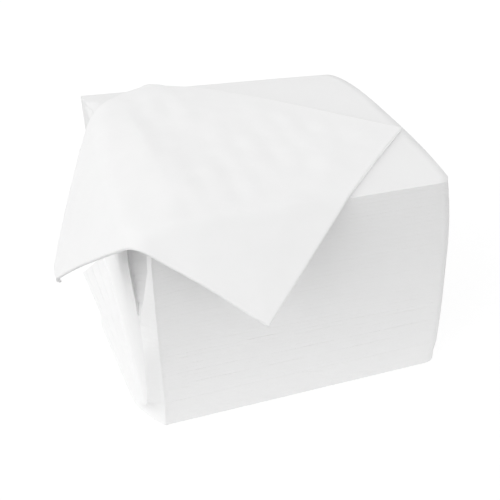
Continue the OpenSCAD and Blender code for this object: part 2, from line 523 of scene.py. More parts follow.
    def right_edge(self, t: float, b: np.ndarray) -> np.ndarray:
        """Work out the inset of the right side.

        Args:
            t: Height, counted in napkins.
            b: Distances from the front.

        Returns:
            Distances from the stack's right limit.
        """
        pull = self.pull * float(part(t + 0.5, self.count * self.pull_from, self.count)) ** 2
        radius = self.far_corner + self.near_foot * self.near.foot(t)
        near = 1.0 - part(b, 0.0, radius)
        far = 1.0 - part(self.side - b, 0.0, self.far_corner)
        near_in = radius * (1.0 - np.sqrt(1.0 - near**2))
        far_in = self.far_corner * (1.0 - np.sqrt(1.0 - far**2))
        return pull + np.maximum(near_in, far_in)

    def turned(self, t: float, x: np.ndarray, b: np.ndarray) -> np.ndarray:
        """Work out how far the front's foot is turned to the back.

        Args:
            t: Height, counted in napkins.
            x: Plan places to the right, row by row.
            b: Distance of each row from the front.

        Returns:
            One distance for each place.
        """
        foot = 1.0 - float(ease(part(self.near.middle_height(t), 0.0, self.turn_z)))
        u = part(x, self.left_x, self.right_x)
        return self.turn * foot * (u - self.turn_at) * (1.0 - part(b, 0.0, self.turn_reach))[:, None]

    def creased(self, x: np.ndarray, b: np.ndarray) -> np.ndarray:
        """Return how far the near left crease stands out at plan places x, for rows at distances b."""
        across = np.exp(-(((x - x[0, 0]) / self.crease_wide) ** 2))
        return self.crease * (across * (1.0 - part(b, 0.0, self.crease_reach))[:, None])


@dataclass(frozen=True)
class Bend:
    """A sheet's path over an edge: a round bend, a slope that goes on curving, then a curled tip.

    Attributes:
        radius: Radius of the round bend.
        fall: Slope in degrees after it.
        curl: Change of the slope in degrees per millimetre.
        tip_at: Length of the slope before the tip.
        tip_curl: Change of the slope in degrees per millimetre along the tip.
    """

    radius: float
    fall: float
    curl: float
    tip_at: float = 500.0
    tip_curl: float = 1.0

    def run(self, length: np.ndarray, lean: Number, radius: Number) -> Tuple[np.ndarray, np.ndarray]:
        """Follow the path.

        Args:
            length: Distances along the sheet past the start of the bend.
            lean: Slope in radians that the sheet has already where the bend starts.
            radius: Radius of the round bend at each.

        Returns:
            How far the path has gone outwards, and how far down.
        """
        s = np.maximum(length, 0.0)
        fall, curl, tip = (math.radians(angle) for angle in (self.fall, self.curl, self.tip_curl))
        angle = np.minimum(lean + s / radius, fall)
        rest = np.maximum(s - radius * (fall - lean), 0.0)
        slope = fall + curl * np.minimum(rest, self.tip_at)
        turned = slope + tip * np.maximum(rest - self.tip_at, 0.0)
        out = radius * (np.sin(angle) - np.sin(lean)) + (np.sin(slope) - math.sin(fall)) / curl
        down = radius * (np.cos(lean) - np.cos(angle)) + (math.cos(fall) - np.cos(slope)) / curl
        out = out + (np.sin(turned) - np.sin(slope)) / tip
        down = down + (np.cos(slope) - np.cos(turned)) / tip
        return out, down


@dataclass(frozen=True)
class Relief:
    """One layer of fine relief in a finish.

    Attributes:
        pitch: Size of the relief in millimetres.
        depth: Height of the relief in millimetres.
        stretch: How much longer its ridges are along X than across.
        detail: Detail of its noise.
        strength: How strongly it turns the light.
    """

    pitch: float
    depth: float
    stretch: float
    detail: float = 3.0
    strength: float = 0.6

    def normal(
        self,
        made: bpy.types.Material,
        place: bpy.types.Node,
        before: Optional[bpy.types.NodeSocket],
    ) -> bpy.types.NodeSocket:
        """Add the layer to a material.

        Args:
            made: The material.
            place: The node that gives the point on the object.
            before: The normal of the layer below, or None for the first layer.

        Returns:
            The new normal.
        """
        nodes, links = made.node_tree.nodes, made.node_tree.links
        squeeze = nodes.new("ShaderNodeMapping")
        squeeze.inputs["Scale"].default_value = (1.0 / self.stretch, 1.0, 1.0)
        grain = nodes.new("ShaderNodeTexNoise")
        grain.inputs["Scale"].default_value = 1.0 / (self.pitch * MM)
        grain.inputs["Detail"].default_value = self.detail
        relief = nodes.new("ShaderNodeBump")
        relief.inputs["Strength"].default_value = self.strength
        relief.inputs["Distance"].default_value = self.depth * MM
        links.new(place.outputs["Object"], squeeze.inputs["Vector"])
        links.new(squeeze.outputs["Vector"], grain.inputs["Vector"])
        links.new(grain.outputs["Fac"], relief.inputs["Height"])
        if before is not None:
            links.new(before, relief.inputs["Normal"])
        return relief.outputs["Normal"]


@dataclass(frozen=True)
class TissueFinish:
    """Soft white tissue paper: matt, faintly mottled, felted and finely creped.

    Attributes:
        name: Name of the material.
        white: Its lightest tone.
        mottle: How much darker the mottles are.
        mottle_mm: Size of the mottles in millimetres.
        mottle_detail: Detail of their noise.
        roughness: Roughness of the surface.
        gloss: Level of its reflection.
        sheen: Weight of its fibres' sheen.
        sheen_roughness: Roughness of that sheen.
        felt: The broader relief.
        crepe: The finer relief.
    """

    name: str
    white: Triple = (0.87, 0.87, 0.87)
    mottle: float = 0.02
    mottle_mm: float = 14.0
    mottle_detail: float = 5.0
    roughness: float = 0.95
    gloss: float = 0.15
    sheen: float = 0.12
    sheen_roughness: float = 0.6
    felt: Relief = Relief(pitch=2.6, depth=0.10, stretch=1.0)
    crepe: Relief = Relief(pitch=0.45, depth=0.05, stretch=3.5)

    def material(self) -> bpy.types.Material:
        """Build the finish as a node material.

        Returns:
            The material.
        """
        made = bpy.data.materials.new(self.name)
        made.use_nodes = True
        nodes, links = made.node_tree.nodes, made.node_tree.links
        shader = nodes["Principled BSDF"]
        shader.inputs["Roughness"].default_value = self.roughness
        shader.inputs["Specular IOR Level"].default_value = self.gloss
        shader.inputs["Sheen Weight"].default_value = self.sheen
        shader.inputs["Sheen Roughness"].default_value = self.sheen_roughness
        place = nodes.new("ShaderNodeTexCoord")
        clouds = nodes.new("ShaderNodeTexNoise")
        clouds.inputs["Scale"].default_value = 1.0 / (self.mottle_mm * MM)
        clouds.inputs["Detail"].default_value = self.mottle_detail
        tint = nodes.new("ShaderNodeMapRange")
        tint.inputs["To Min"].default_value = 1.0 - self.mottle
        tint.inputs["To Max"].default_value = 1.0
        paint = nodes.new("ShaderNodeVectorMath")
        paint.operation = "SCALE"
        paint.inputs[0].default_value = self.white
        links.new(place.outputs["Object"], clouds.inputs["Vector"])
        links.new(clouds.outputs["Fac"], tint.inputs["Value"])
        links.new(tint.outputs["Result"], paint.inputs["Scale"])
        links.new(paint.outputs["Vector"], shader.inputs["Base Color"])
        normal = self.felt.normal(made, place, None)
        normal = self.crepe.normal(made, place, normal)
        links.new(normal, shader.inputs["Normal"])
        return made


def solid_object(
    name: str, points: np.ndarray, quads: np.ndarray, finish: bpy.types.Material
) -> bpy.types.Object:
    """Make a smooth mesh object.

    Args:
        name: Name of the piece.
        points: Its points in millimetres, one row each.
        quads: Its faces, four point numbers a row.
        finish: Its material.

    Returns:
        The object, linked to the scene.
    """
    mesh = bpy.data.meshes.new(name)
    mesh.from_pydata((points * MM).tolist(), [], quads.tolist())
    mesh.polygons.foreach_set("use_smooth", [True] * len(mesh.polygons))
    mesh.materials.append(finish)
    mesh.validate()
    made = bpy.data.objects.new(name, mesh)
    bpy.context.scene.collection.objects.link(made)
    return made


def loop_of(rows: int, columns: int) -> np.ndarray:
    """Return the border of a grid, counter-clockwise from its first point.

    Args:
        rows: How many rows the grid has.
        columns: How many points each row has.

    Returns:
        Numbers of the border's points.
    """
    front = np.arange(columns)
    right = np.arange(1, rows) * columns + columns - 1
    back = (rows - 1) * columns + np.arange(columns - 2, -1, -1)
    left = np.arange(rows - 2, 0, -1) * columns
    return np.concatenate([front, right, back, left])


def grid_quads(rows: int, columns: int, start: int, upward: bool) -> np.ndarray:
    """Return the faces of a grid.

    Args:
        rows: How many rows of points the grid has.
        columns: How many points each row has.
        start: Number of the grid's first point.
        upward: Whether the faces look up.

    Returns:
        Four point numbers a row.
    """
    j, c = np.meshgrid(np.arange(rows - 1), np.arange(columns - 1), indexing="ij")
    a = start + (j * columns + c).ravel()
    quads = np.stack([a, a + 1, a + 1 + columns, a + columns], 1)
    return quads if upward else quads[:, ::-1]


def band_quads(border: np.ndarray, upper_cap: int, start: int) -> List[np.ndarray]:
    """Return the faces around a solid, ring by ring, between its lower and its upper cap.

    Args:
        border: Numbers of the lower cap's border points.
        upper_cap: Number of the upper cap's first point.
        start: Number of the first point after the caps, where the rings between them begin.

    Returns:
        One array for each band, four point numbers a row.
    """
    size = len(border)
    between = [start + ring * size + np.arange(size) for ring in range(RINGS - 2)]
    loops = [border] + between + [upper_cap + border]
    return [
        np.stack([lower, np.roll(lower, -1), np.roll(upper, -1), upper], 1)
        for lower, upper in zip(loops, loops[1:])
    ]


@dataclass(frozen=True)
class Waves:
    """One layer of soft waves in the draped napkin.

    Attributes:
        seed: Number that picks the waves.
        height: Their height.
        lengths: Longest and shortest wavelength.
        turns: How many waves are added up.
    """

    seed: int
    height: float
    lengths: Pair
    turns: int

    def over(self, x: np.ndarray, y: np.ndarray) -> np.ndarray:
        """Return the waves' height over the plan points (x, y)."""
        return self.height * Ripple(self.seed, self.lengths, self.turns).over(x, y)


@dataclass
class DrapedNapkin:
    """The napkin that lies cornerwise over the stack, with two corners hanging.

    Attributes:
        form: The stack below.
        finish: Material of the paper.
        node: The solid of the part that this piece stands for.
        middle: Flat place of its middle.
        turn: How far it is turned, in degrees.
        thick: Its thickness.
        bend_in: How far inside the stack's left limit the left bend starts, at the front and on a flat top.
        left_skew: How much further inside it starts at the back.
        bend_back: How far behind the stack's front limit the front bend starts.
        left: The bend over the left side.
        front: The bend over the front.
        near_radius: Radius of the left bend where the top is pressed down.
        steps: How often the start of the left bend is corrected.
        blend: Power by which the two bends are joined at the near left corner.
        under: How far the stack's left edge stays inside the sheet.
        release: Shares of the side, from the front, between which the stack's left edge is free again.
        gap: Room between the sheet and the stack.
        back_fall: How the corner behind the stack falls, per square of its overhang.
        edge_lift: Height of the waves' base at the sheet's edges.
        lift: Further height of that base inside.
        settle: Distance from the edges over which the waves set in.
        broad: The broad waves.
        fine: The fine waves.
        calm: Share of the waves that is left over the bends.
        calm_x: Flat places between which the left bend's calm ends.
        calm_y: Flat places between which the front bend's calm ends.
        cells: Number of mesh cells along a side.
        groove: Depth of the grooves between its leaves, on two sides.
        edge_round: How far the edges are rounded at the top.
        round_at: Share of the thickness at which they stand out most.
        probe: Distance over which the sheet's upward direction is measured.
    """

    form: StackForm
    finish: bpy.types.Material
    node: str = "draped_napkin"
    middle: Pair = (-35.6, -25.1)
    turn: float = 44.2
    thick: float = 1.4
    bend_in: float = 10.7
    left_skew: float = 11.2
    bend_back: float = 2.4
    left: Bend = Bend(radius=20.0, fall=52.8, curl=0.204, tip_at=54.5, tip_curl=11.0)
    front: Bend = Bend(radius=10.0, fall=40.1, curl=-0.063)
    near_radius: float = 12.0
    steps: int = 12
    blend: float = 1.2
    under: float = 0.7
    release: Pair = (0.87, 0.97)
    gap: float = 0.12
    back_fall: float = 0.02
    edge_lift: float = 0.1
    lift: float = 1.5
    settle: float = 24.0
    broad: Waves = Waves(seed=7, height=1.1, lengths=(80.0, 40.0), turns=5)
    fine: Waves = Waves(seed=11, height=0.6, lengths=(30.0, 14.0), turns=6)
    calm: float = 0.2
    calm_x: Pair = (-78.0, -52.0)
    calm_y: Pair = (-95.0, -68.0)
    cells: int = 110
    groove: float = 0.12
    edge_round: float = 0.35
    round_at: float = 0.35
    probe: float = 0.5

    def bend_left(self, y: np.ndarray) -> Tuple[np.ndarray, np.ndarray, np.ndarray]:
        """Work out the bend down to the left, so that the flap beyond it stays in one plane.

        Args:
            y: Plan places to the back.

        Returns:
            Where the bend starts, the slope there in radians, and the bend's radius.
        """
        form, fall = self.form, math.radians(self.left.fall)
        radius = mix(self.left.radius, self.near_radius, form.sag.share(y))
        knee = form.left_x + self.bend_in + self.left_skew * part(y, form.front_y, form.back_y)
        knee = knee - self.left.radius * math.tan(fall / 2.0)
        line = knee + radius * math.tan(fall / 2.0)
        for _ in range(self.steps):
            sunk, slope = form.sag.over(line, y)
            lean = np.arctan(slope)
            drop = sunk + radius * (np.cos(lean) - math.cos(fall))
            line = knee + radius * (math.sin(fall) - np.sin(lean)) - drop / math.tan(fall)
        return line, lean, radius

    def shoulder(self, depth: float, b: np.ndarray) -> np.ndarray:
        """Work out the inset that keeps the stack's left edge under the sheet.

        Args:
            depth: How far below the stack's top the edge lies.
            b: Distances from the front.

        Returns:
            Insets from the stack's left limit.
        """
        form, fall = self.form, math.radians(self.left.fall)
        line, lean, radius = self.bend_left(form.front_y + b)
        turned = radius * (np.cos(lean) - math.cos(fall))
        angle = np.arccos(np.cos(lean) - np.minimum(depth, turned) / radius)
        straight = np.maximum(0.0, depth - turned) / math.tan(fall)
        run = radius * (np.sin(angle) - np.sin(lean)) + straight
        need = line - form.left_x - run - self.under
        start, end = (form.side * share for share in self.release)
        return np.maximum(0.0, need) * (1.0 - part(b, start, end))

    def wrinkle(self, x: np.ndarray, y: np.ndarray) -> np.ndarray:
        """Work out the soft waves of the sheet.

        Args:
            x: Flat places to the right.
            y: Flat places to the back.

        Returns:
            Their height over each flat place.
        """
        turn = math.radians(self.turn)
        dx, dy = x - self.middle[0], y - self.middle[1]
        u = dx * math.cos(turn) + dy * math.sin(turn)
        v = dy * math.cos(turn) - dx * math.sin(turn)
        room = self.form.side / 2.0 - np.maximum(np.abs(u), np.abs(v))
        loose = ease(part(room, 0.0, self.settle))
        calm = mix(self.calm, 1.0, ease(part(x, *self.calm_x)) * ease(part(y, *self.calm_y)))
        return self.edge_lift + loose * (self.lift + calm * (self.broad.over(x, y) + self.fine.over(x, y)))

    def underside(self, x: np.ndarray, y: np.ndarray) -> np.ndarray:
        """Work out the place of the sheet's underside.

        Args:
            x: Flat places to the right.
            y: Flat places to the back.

        Returns:
            Points in millimetres, one row each.
        """
        form, q = self.form, self.blend
        line, lean, radius = self.bend_left(y)
        edge = form.front_y + self.bend_back
        out_left, down_left = self.left.run(line - x, lean, radius)
        out_front, down_front = self.front.run(edge - y, 0.0, self.front.radius)
        past = np.maximum(y - form.back_y, 0.0)
        rest = form.top(np.maximum(x, line), np.maximum(y, edge)) + self.gap - self.back_fall * past**2
        down = (down_left**q + down_front**q) ** (1.0 / q)
        bent_x = np.where(x < line, line - out_left, x)
        bent_y = np.where(y < edge, edge - out_front, y)
        return np.stack([bent_x, bent_y, rest + self.wrinkle(x, y) - down], -1)

    def lifted(self, x: np.ndarray, y: np.ndarray, height: float) -> np.ndarray:
        """Work out points above the sheet's underside, along its own upward direction.

        Args:
            x: Flat places to the right.
            y: Flat places to the back.
            height: How far above the underside the points lie.

        Returns:
            Points in millimetres, one row each.
        """
        along = self.underside(x + self.probe, y) - self.underside(x - self.probe, y)
        across = self.underside(x, y + self.probe) - self.underside(x, y - self.probe)
        up = np.cross(along, across)
        up /= np.linalg.norm(up, axis=-1, keepdims=True)
        return self.underside(x, y) + up * height

    def placed(self, u: np.ndarray, v: np.ndarray, height: float) -> np.ndarray:
        """Work out points from their flat places in the sheet's own square.

        Args:
            u: Distances from the middle along the square's first side.
            v: Distances from the middle along its second side.
            height: How far above the underside the points lie.

        Returns:
            Points in millimetres, one row each.
        """
        c, s = math.cos(math.radians(self.turn)), math.sin(math.radians(self.turn))
        x = self.middle[0] + u * c - v * s
        y = self.middle[1] + u * s + v * c
        return self.lifted(x, y, height)

    def insets(self) -> np.ndarray:
        """Work out how far the sheet's border is drawn in, with leaves on its first and last side.

        Returns:
            One row a border point, one column a ring.
        """
        leaves = self.groove * (1.0 - np.abs(np.cos(4.0 * math.pi * SHARES)) ** 0.5)
        fold = self.edge_round * np.abs(SHARES - self.round_at) ** 3 / (1.0 - self.round_at) ** 3
        return np.repeat(np.stack([fold + leaves, fold, fold, fold + leaves]), self.cells, axis=0)

    def build(self) -> bpy.types.Object:
        """Build the sheet as one closed mesh.

        Returns:
            The sheet.
        """
        n = self.cells + 1
        half = self.form.side / 2.0
        inset = self.insets()
        b, a = np.meshgrid(np.linspace(-half, half, n), np.linspace(-half, half, n), indexing="ij")
        a, b = a.ravel(), b.ravel()
        border = loop_of(n, n)
        caps: List[np.ndarray] = []
        rings: List[np.ndarray] = []
        for ring, share in enumerate(SHARES):
            room = half - inset[:, ring]
            u, v = np.clip(a[border], -room, room), np.clip(b[border], -room, room)
            if ring in (0, RINGS - 1):
                whole_u, whole_v = a.copy(), b.copy()
                whole_u[border], whole_v[border] = u, v
                caps.append(self.placed(whole_u, whole_v, self.thick * share))
            else:
                rings.append(self.placed(u, v, self.thick * share))
        faces = [grid_quads(n, n, 0, False), grid_quads(n, n, n * n, True)]
        faces += band_quads(border, n * n, 2 * n * n)
        made = solid_object("draped_sheet", np.concatenate(caps + rings), np.concatenate(faces), self.finish)
        self.dress(made)
        return made

    def dress(self, made: bpy.types.Object) -> None:
        """Attach the sheet to the body and hide the part's solid that it stands for.

        Args:
            made: The sheet.
        """
        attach(made, BODY)
        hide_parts(self.node)


@dataclass
class FoldedNapkin:
    """One quarter-folded napkin of the stack.

    Attributes:
        number: Its number, from 1 at the bottom.
        form: The stack that it lies in.
        over: The napkin draped over the stack.
        finish: Material of the paper.
        edge: How its border is shaped.
        columns: Points in a row of its mesh, from left to right.
        middle_rows: Rows of points between the lip and the back corners.
        least_cleft: Distance over which the cleft's rows lie where there is no cleft.
        least_depth: Least depth below the stack's top that its left edge is shaped for.
        stray_seed: Number from which its place is drawn.
        COLUMN_ROWS: Places of rows along the column, as shares of its reach.
        CLEFT_ROWS: Places of rows along the cleft and the hollow, as shares of their length.
        LIP_ROWS: Distances of rows behind them.
        ROUND_ROWS: Places of rows along the back right corner, as shares of its radius.
        SKIN_ROWS: Places of rows along the free fold, as shares of the hollow's length behind it.
        NEAR_COLUMNS: Distances of the first columns from the left edge.
        SKIN_COLUMNS: How many columns the free fold has without its inner face.
        HOLLOW_ROW: The row where the hollow ends.
    """

    number: int
    form: StackForm
    over: DrapedNapkin
    finish: bpy.types.Material
    edge: EdgeShape = EdgeShape()
    columns: int = 36
    middle_rows: int = 18
    least_cleft: float = 2.0
    least_depth: float = 0.1
    stray_seed: int = 500

    COLUMN_ROWS: ClassVar[np.ndarray] = np.array(
        [0.0, 0.02, 0.07, 0.16, 0.3, 0.5, 0.7, 0.84, 0.93, 0.98, 1.0]
    )
    CLEFT_ROWS: ClassVar[np.ndarray] = np.array(
        [0.01, 0.04, 0.1, 0.2, 0.35, 0.5, 0.7, 0.87, 0.96, 0.99, 1.0]
    )
    LIP_ROWS: ClassVar[np.ndarray] = np.array([0.4, 1.2, 3.0])
    ROUND_ROWS: ClassVar[np.ndarray] = np.array([0.0, 0.03, 0.1, 0.2, 0.33, 0.5, 0.68, 0.85, 1.0])
    SKIN_ROWS: ClassVar[np.ndarray] = np.array([0.0, 0.03, 0.1, 0.25, 0.5, 0.75])
    NEAR_COLUMNS: ClassVar[np.ndarray] = np.array([0.0, 0.4, 0.9, 1.6, 2.8, 4.6])
    SKIN_COLUMNS: ClassVar[int] = 3
    HOLLOW_ROW: ClassVar[int] = len(COLUMN_ROWS) + len(CLEFT_ROWS) - 1

    def is_hollow(self) -> bool:
        """Tell whether the corner of this napkin stands open over a hollow."""
        return self.form.near.is_hollow(self.number - 1.0)

    def rows(self, t: float) -> np.ndarray:
        """Work out where the rows of points lie.

        Args:
            t: Height, counted in napkins.

        Returns:
            Their distances from the front.
        """
        form, near = self.form, self.form.near
        column, mouth = near.column(t), near.mouth(t)
        end = near.hollow_end(t) if self.is_hollow() else max(mouth, column + self.least_cleft)
        cleft = column + (end - column) * self.CLEFT_ROWS
        lip = end + self.LIP_ROWS
        last = form.side - form.far_corner * self.ROUND_ROWS[::-1]
        middle = np.linspace(lip[-1], last[0], self.middle_rows + 2)[1:-1]
        return np.concatenate([column * self.COLUMN_ROWS, cleft, lip, middle, last])

    def plan(self, t: float) -> np.ndarray:
        """Work out the points of the napkin in plan.

        Args:
            t: Height, counted in napkins.

        Returns:
            Points in millimetres, row by row from the front, and after them those of the left fold
            where it stands in front of a hollow.
        """
        form, near, b = self.form, self.form.near, self.rows(t)
        depth = max(self.least_depth, (form.count - t) * form.leaf + self.least_depth)
        left = form.left_x + form.left_edge(t, b, self.over.shoulder(depth, b)) + near.inset(t, b)
        if self.is_hollow():
            left[self.HOLLOW_ROW :] += near.skin(t)
        right = form.right_x - form.right_edge(t, b)
        width = (right - left)[:, None]
        first = self.NEAR_COLUMNS[None, :] / width
        share = np.linspace(0.0, 1.0, self.columns - len(self.NEAR_COLUMNS) + 1)[None, 1:]
        x = left[:, None] + width * np.concatenate([first, first[:, -1:] + (1.0 - first[:, -1:]) * share], 1)
        y = form.front_y + np.repeat(b[:, None], self.columns, 1)
        y = y + form.turned(t, x, b) - form.creased(x, b)
        points = np.stack([x.ravel(), y.ravel()], 1)
        return np.concatenate([points, self.free_fold(t, depth, b)]) if self.is_hollow() else points

    def free_fold(self, t: float, depth: float, b: np.ndarray) -> np.ndarray:
        """Work out the points of the left fold where it stands in front of a hollow.

        Args:
            t: Height, counted in napkins.
            depth: Depth below the stack's top.
            b: Distances of the napkin's rows from the front.

        Returns:
            Points in millimetres: those of the fold row by row, then those of its inner face.
        """
        form, near = self.form, self.form.near
        mouth, end = near.mouth(t), near.hollow_end(t)
        c = np.concatenate([mouth + (end - mouth) * self.SKIN_ROWS, b[self.HOLLOW_ROW :]])
        outer = form.left_x + form.left_edge(t, c, self.over.shoulder(depth, c))
        thick = near.lip + (near.skin(t) - near.lip) * part(c, mouth, end)
        across = [outer + thick * k / self.SKIN_COLUMNS for k in range(self.SKIN_COLUMNS)]
        strip = np.stack([np.stack([x, form.front_y + c], 1) for x in across], 1)
        inner = np.stack([outer + thick, form.front_y + c], 1)[: len(self.SKIN_ROWS)]
        return np.concatenate([strip.reshape(-1, 2), inner])

    def mesh_plan(self) -> Tuple[np.ndarray, np.ndarray, np.ndarray]:
        """Work out how the plan's points are joined.

        Returns:
            The upward faces, the border counter-clockwise from the front left, and the EdgeKind of
            each of its points.
        """
        rows, columns = len(self.rows(self.number)), self.columns
        quads = grid_quads(rows, columns, 0, True)
        border = loop_of(rows, columns)
        first, skin, wide = self.HOLLOW_ROW, len(self.SKIN_ROWS), self.SKIN_COLUMNS
        if not self.is_hollow():
            corner = first + len(self.LIP_ROWS)
            sides = (columns, rows - 1 + columns - 1, rows - 2 - corner, corner)
            return quads, border, np.repeat(list(EdgeKind), sides)
        start = rows * columns
        count = skin + rows - first
        strip = start + np.arange(count * wide).reshape(count, wide)
        skin_inner = start + count * wide + np.arange(skin)
        inner = np.concatenate([skin_inner, np.arange(first, rows) * columns])
        fold = np.concatenate([strip, inner[:, None]], 1)
        a, b, c, d = fold[:-1, :-1], fold[:-1, 1:], fold[1:, 1:], fold[1:, :-1]
        quads = np.concatenate([quads, np.stack([a, b, c, d], -1).reshape(-1, 4)])
        kept = columns + rows - 1 + columns - 1
        fold_back, fold_left, fold_edge = fold[-1, wide - 1 :: -1], fold[-2::-1, 0], fold[0, 1:]
        corner = np.concatenate([fold_edge, inner[1:skin], np.arange(first, 0, -1) * columns])
        border = np.concatenate([border[:kept], fold_back, fold_left, corner])
        sides = (columns, kept - columns + wide, count - 1, len(corner))
        return quads, border, np.repeat(list(EdgeKind), sides)

    def insets(self, kinds: np.ndarray, x: np.ndarray, y: np.ndarray) -> np.ndarray:
        """Work out how far each border point is drawn in, ring by ring.

        Args:
            kinds: The EdgeKind of each border point.
            x: Plan places of the border's points.
            y: The same, to the back.

        Returns:
            One row a border point, one column a ring.
        """
        order = (EdgeKind.TWO_FOLDS, EdgeKind.LEAVES, EdgeKind.ONE_FOLD)
        weight = np.eye(len(EdgeKind))[kinds][:, : len(order)]
        for _ in range(self.edge.soften):
            weight = (np.roll(weight, 1, 0) + 2.0 * weight + np.roll(weight, -1, 0)) / 4.0
        inset = weight @ np.stack([self.edge.inset(kind) for kind in order])
        reach = weight @ np.array(self.edge.uneven)
        for leaf in range(self.edge.leaves):
            uneven = reach * self.edge.uneven_leaf(self.number, leaf, x, y)
            inset = inset + uneven[:, None] * self.edge.leaf_rings(leaf)[None, :]
        return inset

    def build(self) -> bpy.types.Object:
        """Build the napkin as one closed mesh.

        Returns:
            The napkin.
        """
        form, i = self.form, self.number
        draw = np.random.RandomState(self.stray_seed + i)
        stray_x, stray_y = draw.uniform(-1.0, 1.0, 2) * form.stray
        quads, border, kinds = self.mesh_plan()
        gap = form.air / 2.0
        caps: List[np.ndarray] = []
        rings: List[np.ndarray] = []
        for ring, share in enumerate(SHARES):
            x, y = self.plan(i - 1 + share).T
            turn = 1.0 - 2.0 * part(y, form.front_y, form.back_y)
            x, y = x + stray_x, y + stray_y * turn
            bx, by = x[border], y[border]
            tx, ty = np.roll(bx, -1) - np.roll(bx, 1), np.roll(by, -1) - np.roll(by, 1)
            size = np.hypot(tx, ty) + TINY
            inset = self.insets(kinds, bx, by)[:, ring]
            x[border], y[border] = bx - ty / size * inset, by + tx / size * inset
            whole = ring in (0, RINGS - 1)
            px, py = (x, y) if whole else (x[border], y[border])
            low = form.level(i - 1, px, py) + (gap if i > 1 else 0.0)
            high = form.level(i, px, py) - gap
            (caps if whole else rings).append(np.stack([px, py, low + (high - low) * share], 1))
        total = len(caps[0])
        faces = [quads[:, ::-1], quads + total] + band_quads(border, total, 2 * total)
        name = "folded_%02d" % i
        made = solid_object(name, np.concatenate(caps + rings), np.concatenate(faces), self.finish)
        self.dress(made)
        return made

    def dress(self, made: bpy.types.Object) -> None:
        """Attach the napkin to the body and hide the part's solid that it stands for.

        Args:
            made: The napkin.
        """
        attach(made, BODY)
        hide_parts("napkin_%02d" % self.number)


@dataclass
class NapkinStack:
    """All folded napkins, from the bottom of the stack to its top.

    Attributes:
        form: Sizes of the stack.
        over: The napkin draped over it.
        finish: Material of the paper.
        pieces: The napkins that have been built, by name.
    """

    form: StackForm
    over: DrapedNapkin
    finish: bpy.types.Material
    pieces: Dict[str, bpy.types.Object] = field(default_factory=dict)

    def build(self) -> None:
        """Build each napkin of the stack."""
        for i in range(1, self.form.count + 1):
            made = FoldedNapkin(i, self.form, self.over, self.finish).build()
            self.pieces[made.name] = made


@dataclass(frozen=True)
class Viewpoint:
    """Where the photograph was taken from, in the stack's frame.

    Attributes:
        azimuth: Turn of the view around the stack in degrees, negative to the left of its front.
        height: Angle above the ground in degrees.
        unit: Width of the stack in metres, in which the aim and the distance are given.
        aim: Place looked at, from the base's near left corner.
        corner: That corner, from the middle of the base, in metres to the left and to the front.
        shift: Correction of the aim in metres, to the right and up in the picture.
        distance: Distance of the camera from the aim.
        focal: Focal length in pixels of the photograph.
        pixels: Width of the photograph in pixels.
        sensor: Width of the sensor in millimetres.
        nearest: Nearest distance in metres that the camera sees.
    """

    azimuth: float = -19.71
    height: float = 30.53
    unit: float = 0.172
    aim: Triple = (0.516, 0.5, 0.253)
    corner: Triple = (0.08675, 0.08225, 0.0)
    shift: Pair = (-0.00084, 0.0006)
    distance: float = 3.838
    focal: float = 1100.0
    pixels: float = 500.0
    sensor: float = 36.0
    nearest: float = 0.01

    def build(self) -> bpy.types.Object:
        """Stand the camera there.

        Returns:
            The camera, linked to the scene.
        """
        azimuth, height = math.radians(self.azimuth), math.radians(self.height)
        level = math.cos(height)
        back = Vector((math.sin(azimuth) * level, -math.cos(azimuth) * level, math.sin(height)))
        right = Vector((math.cos(azimuth), math.sin(azimuth), 0.0))
        up = back.cross(right)
        aim = Vector(self.aim) * self.unit - Vector(self.corner)
        aim = aim + self.shift[0] * right + self.shift[1] * up
        lens = bpy.data.cameras.new("camera")
        lens.sensor_width = self.sensor
        lens.lens = self.sensor * self.focal / self.pixels
        lens.clip_start = self.nearest
        made = bpy.data.objects.new("camera", lens)
        turned = Matrix((right, up, back)).transposed().to_4x4()
        made.matrix_world = Matrix.Translation(aim + back * self.distance * self.unit) @ turned
        bpy.context.scene.collection.objects.link(made)
        return made


